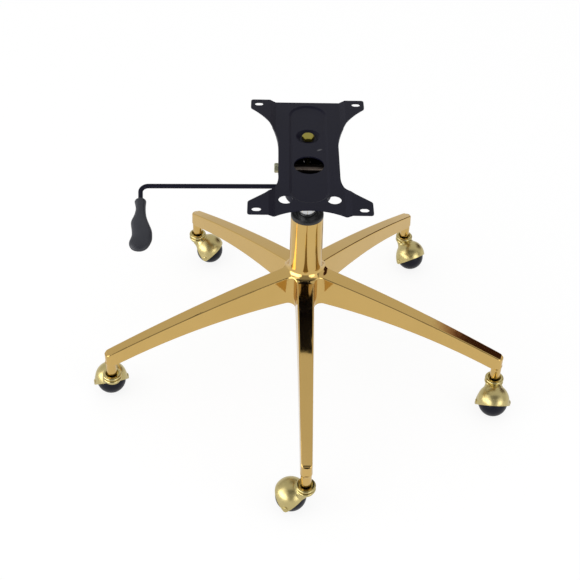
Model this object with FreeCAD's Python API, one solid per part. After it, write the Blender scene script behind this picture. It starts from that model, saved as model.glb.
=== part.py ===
"""Five star chair base with ball casters, a gas lift column and a swivel tilt seat plate.

The base and its column are one polished casting. A gas cylinder rises out of the column and carries
a pressed steel tilt mechanism, whose seat plate is bolted under a seat. Millimetres, +Z up, with the
origin on the floor under the column. The front arm points along -Y and the front of the seat along +Y.
"""
import FreeCAD, Part
import math
import os

V = FreeCAD.Vector
UP = V(0, 0, 1)

# Star base casting
arm_count = 5
first_arm_angle = -90.0
stem_circle_radius = 324.0
arm_tip_radius = 6.95
arm_taper_angle = 1.664
arm_draft_angle = 2.0
arch_radius = 12.0
arm_top_at_hub = 200.5
arm_top_bulge = 5.08285
arm_top_at_tip = 106.0
arm_middle_share = 0.5617284
arm_bottom_at_hub = 147.0
arm_bottom_bulge = 10.76252
arm_bottom_at_tip = 84.0
arm_bottom_middle_offset = 22.0
arm_end_rounding = 5.0
arm_end_lean_angle = 6.0
arm_end_setback = 0.5
arm_edge_rounding = 2.2
arm_edge_depth = 9.0
casting_wall = 3.6
rib_thickness = 3.0
rib_pitch = 46.0
rib_rows = 5
rib_setback = 4.0
hub_floor_thickness = 9.0
column_radius = 25.25
column_draft = 0.45
column_rise = 104.5
column_top = arm_top_at_hub + column_rise
column_bore_radius = 21.5
column_foot_radius = 16.0
tip_boss_radius = 8.2
tip_boss_bottom = 61.0
tip_boss_flare = 0.7
tip_boss_flare_height = 3.0

# Casters
ball_radius = 23.5
ball_side_flat = 22.6
hood_gap = 1.3
hood_wall = 2.0
hood_dome_rise = 5.0
hood_flare_angle = 13.0
caster_trail = 22.5
axle_radius = 3.0
axle_head_radius = 3.8
axle_head_height = 0.8
running_gap = 0.05
lobe_radius = 5.0
lobe_rise_angle = 43.0
cup_radius = 12.9
cup_bead_radius = 2.1
cup_bead_pitch = 6.2
cup_mouth_radius = 10.6
cup_top = 58.8
cup_floor_top = 49.6
cup_floor_thickness = 5.0
cup_lip = 1.0
neck_radius = 13.0
neck_flare_radius = 20.5
stem_radius = 5.5
stem_collar_radius = 7.6
stem_collar_thickness = 4.0
stem_shoulder_radius = 7.0
stem_shoulder_gap = 0.1
stem_insert_depth = 34.0
stem_ring_groove = 1.0
stem_ring_width = 3.0
stem_ring_depth = 6.0
stem_ring_split = 1.6
stem_end_bevel = 1.5
stem_rivet_radius = 7.2
stem_rivet_thickness = 2.5
swivel_gap = 0.4
swivel_angles = (162.0, 267.0, 303.0, 344.0, 106.0)

# Gas lift
cylinder_radius = 14.0
cylinder_wall = 1.6
cylinder_bottom = 168.0
cylinder_end_thickness = 12.0
cone_length = 28.0
cone_top_radius = 13.2
lift_stroke = 80.0
collar_height = 5.5
cylinder_standout = 15.5
collar_step = 1.4
collar_face_inset = 4.5
collar_mouth_gap = 3.0
collar_mouth_depth = 1.2
bush_length = 58.0
piston_rod_radius = 5.0
piston_thickness = 10.0
piston_clearance = 0.05
piston_stop_gap = 4.0
piston_groove_depth = 1.0
race_outer_radius = 14.0
race_thickness = 2.0
bearing_ball_radius = 2.0
bearing_ball_count = 10
bearing_ball_gap = 0.02
cage_half_thickness = 0.8
buffer_radius = 11.0
rod_end_length = 6.0
clip_thickness = 1.6
clip_radius = 9.0
clip_gap = 0.4
button_radius = 4.0
button_height = 5.8
button_depth = 12.0
button_bevel = 1.2
valve_seat_depth = 14.0
valve_seat_slope = 4.0

# Heights of the seat mechanism, each from the one below it
cone_bottom = column_top + collar_height + cylinder_standout
cone_top = cone_bottom + cone_length
cone_rise_in_housing = 7.0
housing_floor_bottom = cone_top - cone_rise_in_housing
pivot_rise = 23.0
pivot_z = housing_floor_bottom + pivot_rise
plate_rise = 30.0
plate_top = pivot_z + plate_rise
lever_rise = 11.6
lever_z = cone_top + lever_rise

# Lower housing of the tilt mechanism
housing_half_width = 35.0
housing_wall = 2.6
housing_rear = -36.0
housing_front = 102.5
housing_rear_height = housing_floor_bottom + 12.0
housing_lever_height = housing_floor_bottom + 26.0
housing_side_height = housing_floor_bottom + 37.0
stop_pad_room = 12.0
housing_front_height = plate_top - stop_pad_room
housing_corner_radius = 14.0
cone_bush_radius = 18.0
cone_bush_rise = 3.0
cone_bush_drop = 19.0

# Tilt pivot
pivot_y = 33.0
pivot_bolt_radius = 4.0
pivot_sleeve_radius = 6.0
sleeve_overhang = 1.0
pivot_head_flats = 13.0
pivot_head_thickness = 6.0
pivot_nut_thickness = 6.0
washer_radius = 9.5
washer_gap = 0.2

# Seat plate
plate_thickness = 2.2
ear_lift = 5.0
plate_centre_y = 21.2
slot_spacing_x = 152.4
slot_spacing_y = 272.0
slot_width = 10.0
slot_length = 13.6
ear_half_width = 89.0
ear_far_margin = 12.0
ear_near_margin = 11.0
ear_corner_radius = 4.0
ear_inner_rounding = 7.0
ear_inner_y = 130.0
joggle_inner = 50.0
joggle_outer = 59.0
waist_half_width = 45.5
waist_far_y = 49.0
waist_near_y = -32.0
far_flare_radius = 130.0
near_flare_radius = 62.0
near_flare_angle = 50.0
flange_far_reach = 50.0
flange_near_reach = 30.0
near_edge_scoop = 17.0
near_edge_scoop_half_width = 53.0
near_edge_scoop_lead = 6.0
near_edge_scoop_step = 1.0
channel_half_width = 26.0
channel_slope_width = 3.5
channel_near_y = -90.0
channel_far_y = 157.0
channel_depth = 1.8
channel_overlap = 0.3
channel_wall_growth = 1.0
access_hole_radius = 22.5
access_hole_y = 1.5
near_hole_radius = 10.3
near_hole_x = 35.0
near_hole_y = -85.0
flange_depth = 11.0
pivot_lobe_radius = 11.0
dimple_radius = 18.8
dimple_floor_radius = 12.6
dimple_depth = 4.6
dimple_wall_growth = 1.2

# Tension screw
tension_y = 77.0
tension_bolt_radius = 5.0
tension_head_flats = 17.0
tension_head_thickness = 6.4
tension_slot_half_width = 5.2
tension_slot_travel = 7.0
spring_radius = 15.0
spring_wire_radius = 2.6
spring_turns = 5.0
spring_height = 40.0
spring_seat_thickness = 2.4
spring_seat_radius = 20.0
knob_radius = 23.0
knob_height = 26.0
knob_grip_radius = 4.2
knob_grip_count = 8
stop_pad_gap = 0.3
stop_pad_half_width = 16.0
stop_pad_wall = 2.4
stop_pad_skirt = 7.0

# Height lever
lever_y = -8.0
lever_slope = 0.7
lever_pivot_x = -33.7
lever_rod_radius = 3.5
lever_bend_x = -250.9
lever_bend_radius = 11.0
lever_splay = 4.8
lever_droop = 12.0
lever_inner_end = 5.0
lever_press_gap = 0.15
tongue_length = 31.0
tongue_thickness = 3.0
tongue_margin = 6.0
lever_swing = 4.5
lever_slot_gap = 0.3
lever_slot_depth = 6.5
handle_start = 29.5
handle_socket = 22.0

# Handle sections: distance along the handle, left edge, right edge and half thickness
handle_sections = (
    (0.0, 7.8, 7.3, 7.6),
    (1.0, 8.6, 8.1, 8.2),
    (4.0, 8.6, 8.2, 8.2),
    (12.5, 7.3, 7.5, 7.4),
    (17.5, 7.4, 7.4, 7.0),
    (22.5, 8.3, 7.5, 7.0),
    (28.5, 9.9, 8.0, 7.1),
    (34.5, 12.3, 9.0, 7.4),
    (40.5, 14.2, 10.6, 7.7),
    (47.0, 14.2, 12.6, 8.0),
    (58.5, 13.2, 15.8, 8.0),
    (67.5, 13.8, 16.3, 8.0),
    (76.5, 16.8, 15.4, 7.6),
    (82.0, 17.2, 13.4, 7.0),
    (87.0, 15.8, 10.8, 6.0),
    (91.0, 13.0, 7.6, 4.4),
    (93.8, 6.5, 2.5, 2.2),
)

os.makedirs("parts", exist_ok=True)


def save(name, shape):
    """Write one node and say what it is."""
    if not shape.isValid():
        print("not valid:", name)
    shape.exportStep("parts/%s.step" % name)
    print("%-22s solids %d volume %.0f" % (name, len(shape.Solids), shape.Volume))


def cylinder(radius, bottom, top, x=0.0, y=0.0):
    return Part.makeCylinder(radius, top - bottom, V(x, y, bottom), UP)


def cylinder_x(radius, left, right, y, z):
    return Part.makeCylinder(radius, right - left, V(left, y, z), V(1, 0, 0))


def box(low, high):
    return Part.makeBox(high[0] - low[0], high[1] - low[1], high[2] - low[2], V(*low))


def polygon_face(points):
    return Part.Face(Part.makePolygon([V(*p) for p in points] + [V(*points[0])]))


def revolve(points):
    """Solid of revolution about Z from (radius, height) corners."""
    return polygon_face([(r, 0, z) for r, z in points]).revolve(V(0, 0, 0), UP, 360)


def hexagon(flats, bottom, top, turn=0.0):
    """Hexagonal prism about Z with the given width across flats."""
    corner = flats / 2 / math.cos(math.radians(30))
    points = []
    for i in range(6):
        a = math.radians(60 * i + turn)
        points.append((corner * math.cos(a), corner * math.sin(a), bottom))
    return polygon_face(points).extrude(V(0, 0, top - bottom))


def turned(shape, angle, x=0.0, y=0.0, z=0.0):
    """Copy of a shape turned about Z and then moved."""
    copy = shape.copy()
    copy.rotate(V(0, 0, 0), UP, angle)
    copy.translate(V(x, y, z))
    return copy


def arm_angle(i):
    return first_arm_angle + 360.0 / arm_count * i


def stem_place(i):
    a = math.radians(arm_angle(i))
    return stem_circle_radius * math.cos(a), stem_circle_radius * math.sin(a)


# Star base casting


def star_points(i, inset, z):
    """Corners of one arm's plan outline.

    In order: arch end, right tip, tip end, left tip, arch start and the middle of the next arch.
    """
    taper = math.radians(arm_taper_angle)
    half = math.radians(180.0 / arm_count)
    tip = arm_tip_radius - inset
    side = arm_tip_radius + stem_circle_radius * math.sin(taper) - inset
    arch = arch_radius + inset
    arch_centre = arch_centre_distance()
    a = math.radians(arm_angle(i))

    def place(x, y):
        return V(x * math.cos(a) - y * math.sin(a), x * math.sin(a) + y * math.cos(a), z)

    touch_x = arch_centre * math.cos(half) - arch * math.sin(taper)
    touch_y = side / math.cos(taper) - touch_x * math.tan(taper)
    tip_x = stem_circle_radius + tip * math.sin(taper)
    tip_y = tip * math.cos(taper)
    middle = arch_centre - arch
    return [place(touch_x, -touch_y), place(tip_x, -tip_y), place(stem_circle_radius + tip, 0),
            place(tip_x, tip_y), place(touch_x, touch_y),
            place(middle * math.cos(half), middle * math.sin(half))]


def arch_centre_distance():
    """Distance from the column's axis to the centres of the arches between the arms."""
    taper = math.radians(arm_taper_angle)
    half = math.radians(180.0 / arm_count)
    side = arm_tip_radius + stem_circle_radius * math.sin(taper)
    return (side + arch_radius) / math.sin(half + taper)


def star_cap(inset, z):
    """Flat face with the plan outline of all the arms."""
    edges = []
    for i in range(arm_count):
        arch_end, tip_right, tip_end, tip_left, arch_start, arch_mid = star_points(i, inset, z)
        next_end = star_points(i + 1, inset, z)[0]
        edges.append(Part.makeLine(arch_end, tip_right))
        edges.append(Part.Arc(tip_right, tip_end, tip_left).toShape())
        edges.append(Part.makeLine(tip_left, arch_start))
        edges.append(Part.Arc(arch_start, arch_mid, next_end).toShape())
    return Part.Face(Part.Wire(edges))


def star_prism(inset):
    """Upright prism of the star with drafted sides, inset all round by the given amount."""
    low = tip_boss_bottom - 10
    high = arm_top_at_hub + column_foot_radius + 4
    slope = math.tan(math.radians(arm_draft_angle))
    low_inset = inset - (arm_bottom_at_hub - low) * slope
    high_inset = inset + (high - arm_bottom_at_hub) * slope
    faces = [star_cap(low_inset, low), star_cap(high_inset, high)]
    for i in range(arm_count):
        below = star_points(i, low_inset, low)
        above = star_points(i, high_inset, high)
        faces.append(polygon_face([below[0], below[1], above[1], above[0]]))
        faces.append(polygon_face([below[3], below[4], above[4], above[3]]))
        x, y = stem_place(i)
        tip_line = Part.makeLine(below[1], above[1])
        faces.append(tip_line.revolve(V(x, y, 0), UP, 180 - 2 * arm_taper_angle))
        a = math.radians(arm_angle(i) + 180.0 / arm_count)
        reach = arch_centre_distance()
        arch_line = Part.makeLine(below[4], above[4])
        arch_turn = 180 - 360.0 / arm_count - 2 * arm_taper_angle
        faces.append(arch_line.revolve(V(reach * math.cos(a), reach * math.sin(a), 0), UP, -arch_turn))
    shell = Part.makeShell(faces)
    shell.sewShape()
    return Part.makeSolid(Part.Shell(shell.Faces))


def bulged_arc(start, end, x, bulge):
    """Arc from start to end that passes above the line between them by the bulge, at the given x."""
    share = (x - start.x) / (end.x - start.x)
    middle = V(x, 0, start.z + (end.z - start.z) * share + bulge)
    return Part.Arc(start, middle, end)


def arm_middle():
    return stem_circle_radius * arm_middle_share


def top_curve(drop=0.0):
    """Arc along the top of an arm, from the hub to the tip."""
    start = V(column_radius, 0, arm_top_at_hub - drop)
    end = V(stem_circle_radius, 0, arm_top_at_tip - drop)
    return bulged_arc(start, end, arm_middle(), arm_top_bulge)


def curve_height(arc, reach):
    """Height of an arc's upper side at a distance from the column's axis."""
    circle = arc.toShape().Curve
    return circle.Center.z + math.sqrt(circle.Radius ** 2 - (reach - circle.Center.x) ** 2)


def column_side(z):
    return column_radius + (column_top - z) * math.tan(math.radians(column_draft))


def arm_body():
    """Solid of revolution with the section of an arm and the column."""
    top = top_curve()
    circle = top.toShape().Curve
    centre = circle.Center
    # The foot arc touches the column side and the top curve, which it meets from outside.
    foot_x = column_side(arm_top_at_hub + column_foot_radius) + column_foot_radius
    reach = circle.Radius + column_foot_radius
    foot_z = centre.z + math.sqrt(reach ** 2 - (foot_x - centre.x) ** 2)
    foot_centre = V(foot_x, 0, foot_z)
    foot_low = centre + (foot_centre - centre).multiply(circle.Radius / reach)
    foot_high = V(foot_x - column_foot_radius, 0, foot_z)
    along = V(foot_low.x - foot_x, 0, foot_low.z - foot_z).normalize()
    bisector = (along + V(-1, 0, 0)).normalize()
    foot_mid = foot_centre + bisector.multiply(column_foot_radius)
    # The end of the arm rounds over from the top curve to an end that leans inward.
    end_x = stem_circle_radius + arm_tip_radius - arm_end_setback
    inner = circle.Radius - arm_end_rounding
    round_x = end_x - arm_end_rounding
    round_z = centre.z + math.sqrt(inner ** 2 - (round_x - centre.x) ** 2)
    round_centre = V(round_x, 0, round_z)
    outward = (round_centre - centre).normalize()
    round_start = round_centre + V(outward).multiply(arm_end_rounding)
    lean = math.radians(arm_end_lean_angle)
    facing = V(math.cos(lean), 0, math.sin(lean))
    half_way = (outward + facing).normalize()
    round_mid = round_centre + half_way.multiply(arm_end_rounding)
    round_end = round_centre + V(facing).multiply(arm_end_rounding)
    foot_of_end = round_end.x + (round_end.z - arm_bottom_at_tip) * math.tan(lean)
    top_mid_x = (foot_low.x + round_start.x) / 2
    top_mid = V(top_mid_x, 0, centre.z + math.sqrt(circle.Radius ** 2 - (top_mid_x - centre.x) ** 2))
    flat_edge = column_radius + arch_radius
    bottom_end = stem_circle_radius - tip_boss_radius
    bottom = bulged_arc(V(flat_edge, 0, arm_bottom_at_hub), V(bottom_end, 0, arm_bottom_at_tip),
                        arm_middle() - arm_bottom_middle_offset, arm_bottom_bulge)
    edges = [
        Part.makeLine(V(0, 0, arm_bottom_at_hub), V(flat_edge, 0, arm_bottom_at_hub)),
        bottom.toShape(),
        Part.makeLine(V(bottom_end, 0, arm_bottom_at_tip), V(foot_of_end, 0, arm_bottom_at_tip)),
        Part.makeLine(V(foot_of_end, 0, arm_bottom_at_tip), round_end),
        Part.Arc(round_end, round_mid, round_start).toShape(),
        Part.Arc(round_start, top_mid, foot_low).toShape(),
        Part.Arc(foot_low, foot_mid, foot_high).toShape(),
        Part.makeLine(foot_high, V(column_radius, 0, column_top)),
        Part.makeLine(V(column_radius, 0, column_top), V(0, 0, column_top)),
        Part.makeLine(V(0, 0, column_top), V(0, 0, arm_bottom_at_hub)),
    ]
    face = Part.Face(Part.Wire(edges))
    return face.revolve(V(0, 0, 0), UP, 360)


def pocket_body():
    """Solid of revolution of the hollow under the arms, up to a wall below their tops."""
    top = top_curve(casting_wall)
    inner = column_radius + arch_radius / 2
    outer = stem_circle_radius - tip_boss_radius - casting_wall
    low = tip_boss_bottom
    middle = (inner + outer) / 2
    inner_top = V(inner, 0, curve_height(top, inner))
    outer_top = V(outer, 0, curve_height(top, outer))
    middle_top = V(middle, 0, curve_height(top, middle))
    edges = [
        Part.makeLine(V(inner, 0, low), V(outer, 0, low)),
        Part.makeLine(V(outer, 0, low), outer_top),
        Part.Arc(outer_top, middle_top, inner_top).toShape(),
        Part.makeLine(inner_top, V(inner, 0, low)),
    ]
    return Part.Face(Part.Wire(edges)).revolve(V(0, 0, 0), UP, 360)


def arm_ribs():
    """Cross ribs and one lengthwise rib that stay in the hollow of each arm."""
    pieces = []
    inner = column_radius + arch_radius
    for i in range(arm_count):
        angle = arm_angle(i)
        for k in range(rib_rows):
            x = inner + rib_pitch * (k + 1)
            rib = box((x - rib_thickness / 2, -30, 0), (x + rib_thickness / 2, 30, column_top))
            pieces.append(turned(rib, angle))
        spine = box((inner, -rib_thickness / 2, 0), (stem_circle_radius, rib_thickness / 2, column_top))
        pieces.append(turned(spine, angle))
    return pieces[0].fuse(pieces[1:])


def star_base():
    body = arm_body()
    prism = star_prism(0.0)
    star = body.common(prism.fuse(cylinder(column_side(arm_bottom_at_hub), arm_bottom_at_hub, column_top)))
    top = top_curve()
    edges = []
    for edge in star.Edges:
        middle = edge.valueAt((edge.FirstParameter + edge.LastParameter) / 2)
        reach = math.hypot(middle.x, middle.y)
        near_top = middle.z > curve_height(top, reach) - arm_edge_depth and middle.z < arm_top_at_hub + 2
        if near_top and reach > column_radius + 4 and edge.Length > 3:
            edges.append(edge)
    star = star.makeFillet(arm_edge_rounding, edges)
    hollow = pocket_body().common(star_prism(casting_wall))
    raised = body.copy()
    raised.translate(V(0, 0, rib_setback))
    ribs = arm_ribs().common(hollow).common(raised)
    star = star.cut(hollow.cut(ribs))
    bosses = []
    sockets = []
    boss_top = arm_top_at_tip - casting_wall
    socket_top = tip_boss_bottom + stem_insert_depth + 1
    for i in range(arm_count):
        x, y = stem_place(i)
        boss = cylinder(tip_boss_radius, tip_boss_bottom, boss_top, x, y)
        low = arm_bottom_at_tip - tip_boss_flare_height
        high = arm_bottom_at_tip + 1.0
        flare_radius = tip_boss_radius + tip_boss_flare
        flare = Part.makeCone(tip_boss_radius, flare_radius, high - low, V(x, y, low), UP)
        bosses.append(boss)
        bosses.append(flare)
        sockets.append(cylinder(stem_radius, tip_boss_bottom - 1, socket_top, x, y))
    star = star.fuse(bosses)
    bore = cylinder(column_bore_radius, arm_bottom_at_hub + hub_floor_thickness, column_top + 1)
    rod_hole = cylinder(piston_rod_radius + running_gap, arm_bottom_at_hub - 1, column_top)
    star = star.cut(sockets + [bore, rod_hole])
    return star.removeSplitter()


# Casters


def ball_centre():
    """Ball centre in a caster's own frame: the stem on the Z axis and the ball along +X."""
    return V(caster_trail, 0, ball_radius)


def hood_outline():
    """Side view of the hood, seen along the axle: a cap that narrows to a round lobe at the axle."""
    c = ball_centre()
    rise = math.radians(lobe_rise_angle)
    nx = math.sin(rise)
    nz = math.cos(rise)
    far = 60.0
    right_low = V(c.x + lobe_radius * nx, -far, c.z - lobe_radius * nz)
    left_low = V(c.x - lobe_radius * nx, -far, c.z - lobe_radius * nz)
    right_high = V(right_low.x + far * nz, -far, right_low.z + far * nx)
    left_high = V(left_low.x - far * nz, -far, left_low.z + far * nx)
    bottom = V(c.x, -far, c.z - lobe_radius)
    edges = [
        Part.Arc(left_low, bottom, right_low).toShape(),
        Part.makeLine(right_low, right_high),
        Part.makeLine(right_high, left_high),
        Part.makeLine(left_high, left_low),
    ]
    return Part.Face(Part.Wire(edges)).extrude(V(0, 2 * far, 0))


def dome_radius(wall):
    """Radius of the dome's inner or outer side, whose skirt clears the ball by the hood's gap."""
    return ball_radius + hood_gap - hood_dome_rise * math.sin(math.radians(hood_flare_angle)) + wall


def skirt_radius(wall, drop):
    """Radius of the hood's skirt at a drop below the dome's centre."""
    flare = math.radians(hood_flare_angle)
    return dome_radius(wall) / math.cos(flare) + drop * math.tan(flare)


def hood_shell(wall):
    """Dome over the ball with a skirt that widens below it."""
    c = ball_centre()
    middle = c.z + hood_dome_rise
    radius = dome_radius(wall)
    flare = math.radians(hood_flare_angle)
    half_turn = (flare + math.pi / 2) / 2
    touch = V(radius * math.cos(flare), 0, middle + radius * math.sin(flare))
    half_way = V(radius * math.cos(half_turn), 0, middle + radius * math.sin(half_turn))
    top = V(0, 0, middle + radius)
    foot = V(skirt_radius(wall, middle), 0, 0)
    edges = [
        Part.makeLine(V(0, 0, 0), foot),
        Part.makeLine(foot, touch),
        Part.Arc(touch, half_way, top).toShape(),
        Part.makeLine(top, V(0, 0, 0)),
    ]
    shell = Part.Face(Part.Wire(edges)).revolve(V(0, 0, 0), UP, 360)
    shell.translate(V(c.x, 0, 0))
    return shell


def hood_neck():
    """Bell between the cup and the dome, turned about the line between their centres."""
    c = ball_centre() + V(0, 0, hood_dome_rise)
    top = V(0, 0, cup_floor_top - cup_floor_thickness / 2)
    axis = c - top
    length = axis.Length
    dome = dome_radius(hood_wall)
    end = length - math.sqrt(dome ** 2 - neck_flare_radius ** 2)
    start = V(neck_radius, 0, 0)
    middle = V((neck_radius + neck_flare_radius) / 2 - 1.6, 0, end * 0.58)
    finish = V(neck_flare_radius, 0, end)
    edges = [
        Part.makeLine(V(0, 0, 0), start),
        Part.Arc(start, middle, finish).toShape(),
        Part.makeLine(finish, V(0, 0, end)),
        Part.makeLine(V(0, 0, end), V(0, 0, 0)),
    ]
    bell = Part.Face(Part.Wire(edges)).revolve(V(0, 0, 0), UP, 360)
    bell.Placement = FreeCAD.Placement(top, FreeCAD.Rotation(UP, axis))
    return bell


def hood_cup():
    """Turned cup round the stem, with two bead rings."""
    low = cup_floor_top - cup_floor_thickness
    cup = cylinder(cup_radius, low, cup_top)
    upper = cup_top - cup_lip - cup_bead_radius
    for z in (upper, upper - cup_bead_pitch):
        cup = cup.fuse(Part.makeTorus(cup_radius, cup_bead_radius, V(0, 0, z), UP))
    return cup


def caster_hood():
    c = ball_centre()
    dome = hood_shell(hood_wall)
    hood = dome.fuse(hood_neck()).common(hood_outline())
    hood = hood.fuse(hood_cup())
    hood = hood.cut(hood_shell(0))
    mouth = cylinder(cup_mouth_radius, cup_floor_top, cup_top + 1)
    bore = cylinder(stem_radius + running_gap, 0, cup_top)
    under = cylinder(stem_rivet_radius + swivel_gap, 0, cup_floor_top - cup_floor_thickness)
    axle_hole = Part.makeCylinder(axle_radius, 80, V(c.x, -40, c.z), V(0, 1, 0))
    hood = hood.cut([mouth, bore, under, axle_hole])
    return max(hood.Solids, key=lambda s: s.Volume)


def caster_ball():
    c = ball_centre()
    ball = Part.makeSphere(ball_radius, V(0, 0, 0), UP)
    ball = ball.common(cylinder(ball_radius + 1, -ball_side_flat, ball_side_flat))
    ball = ball.cut(cylinder(axle_radius + running_gap, -ball_radius, ball_radius))
    ball.rotate(V(0, 0, 0), V(1, 0, 0), 90)
    ball.translate(c)
    return ball


def caster_axle():
    """Axle through the hood, with a low head on each side of it."""
    c = ball_centre()
    side = skirt_radius(hood_wall, hood_dome_rise)
    seat = side - hood_wall
    top = side + axle_head_height
    shell = hood_shell(hood_wall)
    heads = []
    for turn in (-90, 90):
        head = revolve([(0, seat), (axle_head_radius, seat), (axle_head_radius, side + 0.2),
                        (axle_head_radius * 0.7, top), (0, top)])
        head.rotate(V(0, 0, 0), V(1, 0, 0), turn)
        head.translate(c)
        heads.append(head.cut(shell))
    axle = Part.makeCylinder(axle_radius, 2 * top, c - V(0, top, 0), V(0, 1, 0))
    return axle.fuse(heads)


def caster_stem():
    """Fixed stem: a shoulder on the cup's floor, a collar under the boss and a rivet head under the cup."""
    floor_bottom = cup_floor_top - cup_floor_thickness
    rivet_top = floor_bottom - swivel_gap
    collar_bottom = tip_boss_bottom - stem_collar_thickness
    top = tip_boss_bottom + stem_insert_depth
    ring_top = top - stem_ring_depth
    ring_low = ring_top - stem_ring_width
    r = stem_radius
    return revolve([
        (0, rivet_top - stem_rivet_thickness),
        (stem_rivet_radius - 1.5, rivet_top - stem_rivet_thickness),
        (stem_rivet_radius, rivet_top - 1),
        (stem_rivet_radius, rivet_top),
        (r, rivet_top),
        (r, cup_floor_top + stem_shoulder_gap),
        (stem_shoulder_radius, cup_floor_top + stem_shoulder_gap),
        (stem_shoulder_radius, collar_bottom),
        (stem_collar_radius, collar_bottom),
        (stem_collar_radius, tip_boss_bottom),
        (r, tip_boss_bottom),
        (r, ring_low),
        (r - stem_ring_groove, ring_low),
        (r - stem_ring_groove, ring_top),
        (r, ring_top),
        (r, top - stem_end_bevel),
        (r - stem_end_bevel, top),
        (0, top),
    ])


def stem_ring():
    """Split grip ring that holds the stem in its socket."""
    ring_top = tip_boss_bottom + stem_insert_depth - stem_ring_depth
    ring_low = ring_top - stem_ring_width
    ring = cylinder(stem_radius, ring_low, ring_top)
    ring = ring.cut(cylinder(stem_radius - stem_ring_groove, ring_low - 1, ring_top + 1))
    half = stem_ring_split / 2
    return ring.cut(box((0, -half, ring_low - 1), (stem_radius + 1, half, ring_top + 1)))


def save_casters():
    hood = caster_hood()
    ball = caster_ball()
    axle = caster_axle()
    stem = caster_stem()
    ring = stem_ring()
    for i in range(arm_count):
        x, y = stem_place(i)
        angle = swivel_angles[i]
        n = i + 1
        save("caster_stem_%d" % n, turned(stem, angle, x, y))
        save("grip_ring_%d" % n, turned(ring, angle, x, y))
        save("caster_hood_%d" % n, turned(hood, angle, x, y))
        save("caster_ball_%d" % n, turned(ball, angle, x, y))
        save("caster_axle_%d" % n, turned(axle, angle, x, y))


# Gas lift


def guide_bush():
    step = collar_step
    bottom = column_top - bush_length
    top = column_top + collar_height
    return revolve([
        (cylinder_radius + running_gap, bottom),
        (column_bore_radius, bottom),
        (column_bore_radius, column_top),
        (column_radius, column_top),
        (column_radius, top - step),
        (column_radius - step, top),
        (cylinder_radius + collar_face_inset, top),
        (cylinder_radius + collar_mouth_gap, top - collar_mouth_depth),
        (cylinder_radius + running_gap, top - collar_mouth_depth),
    ])


def gas_cylinder():
    r = cylinder_radius
    w = cylinder_wall
    return revolve([
        (piston_rod_radius + running_gap, cylinder_bottom),
        (r - 1, cylinder_bottom),
        (r, cylinder_bottom + 1),
        (r, cone_bottom),
        (cone_top_radius, cone_top),
        (button_radius + running_gap, cone_top),
        (button_radius + running_gap, cone_top - valve_seat_depth),
        (r - w, cone_top - valve_seat_depth - valve_seat_slope),
        (r - w, cylinder_bottom + cylinder_end_thickness),
        (piston_rod_radius + running_gap, cylinder_bottom + cylinder_end_thickness),
    ])


def valve_button():
    r = button_radius
    top = cone_top + button_height
    low = cone_top - button_depth
    return revolve([(0, low), (r, low), (r, top - button_bevel), (r - button_bevel, top), (0, top)])


def hub_floor_top():
    return arm_bottom_at_hub + hub_floor_thickness


def piston_height():
    """Height of the piston's underside, which stays in the cylinder over the whole stroke."""
    return cylinder_bottom + cylinder_end_thickness + lift_stroke + piston_stop_gap


def piston_rod():
    r = piston_rod_radius
    low = arm_bottom_at_hub - rod_end_length
    groove_low = arm_bottom_at_hub - clip_gap - clip_thickness
    groove_high = arm_bottom_at_hub - clip_gap
    return revolve([(0, low), (r - 0.8, low), (r, low + 0.8), (r, groove_low), (r - 1, groove_low),
                    (r - 1, groove_high), (r, groove_high), (r, piston_height()), (0, piston_height())])


def piston():
    r = cylinder_radius - cylinder_wall - piston_clearance
    z = piston_height()
    groove = r - piston_groove_depth
    top = z + piston_thickness
    t = piston_thickness
    return revolve([(0, z), (r, z), (r, z + 0.3 * t), (groove, z + 0.36 * t), (groove, z + 0.64 * t),
                    (r, z + 0.7 * t), (r, top), (0, top)])


def bearing_level():
    """Floors of the lower race, the balls, the upper race and the buffer."""
    low = hub_floor_top()
    balls = low + race_thickness
    upper = balls + 2 * bearing_ball_radius
    return low, balls, upper, upper + race_thickness


def race(bottom, bore):
    return cylinder(race_outer_radius, bottom, bottom + race_thickness).cut(
        cylinder(bore, bottom - 1, bottom + race_thickness + 1))


def ball_cage():
    """Cage ring with its balls, which stand proud of it above and below."""
    balls, upper = bearing_level()[1:3]
    middle = (balls + upper) / 2
    pitch = (race_outer_radius + piston_rod_radius) / 2
    t = cage_half_thickness
    cage = cylinder(race_outer_radius - t, middle - t, middle + t)
    cage = cage.cut(cylinder(piston_rod_radius + t, middle - 2, middle + 2))
    shapes = []
    for k in range(bearing_ball_count):
        a = math.radians(360.0 / bearing_ball_count * k)
        place = V(pitch * math.cos(a), pitch * math.sin(a), middle)
        shapes.append(Part.makeSphere(bearing_ball_radius - bearing_ball_gap, place))
    return cage.fuse(shapes)


def rubber_buffer():
    """Soft stop on the rod, under the lowest place of the cylinder."""
    low = bearing_level()[3]
    top = cylinder_bottom - 0.3
    ring = cylinder(buffer_radius, low, top)
    return ring.cut(cylinder(piston_rod_radius, low - 1, top + 1))


def rod_clip():
    """Horseshoe clip in the groove of the rod, under the hub."""
    top = arm_bottom_at_hub - clip_gap
    low = top - clip_thickness
    clip = cylinder(clip_radius, low, top)
    clip = clip.cut(cylinder(piston_rod_radius - 1, low - 1, top + 1))
    half = piston_rod_radius - 1
    return clip.cut(box((0, -half, low - 1), (clip_radius + 1, half, top + 1)))


# Lower housing of the tilt mechanism


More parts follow.
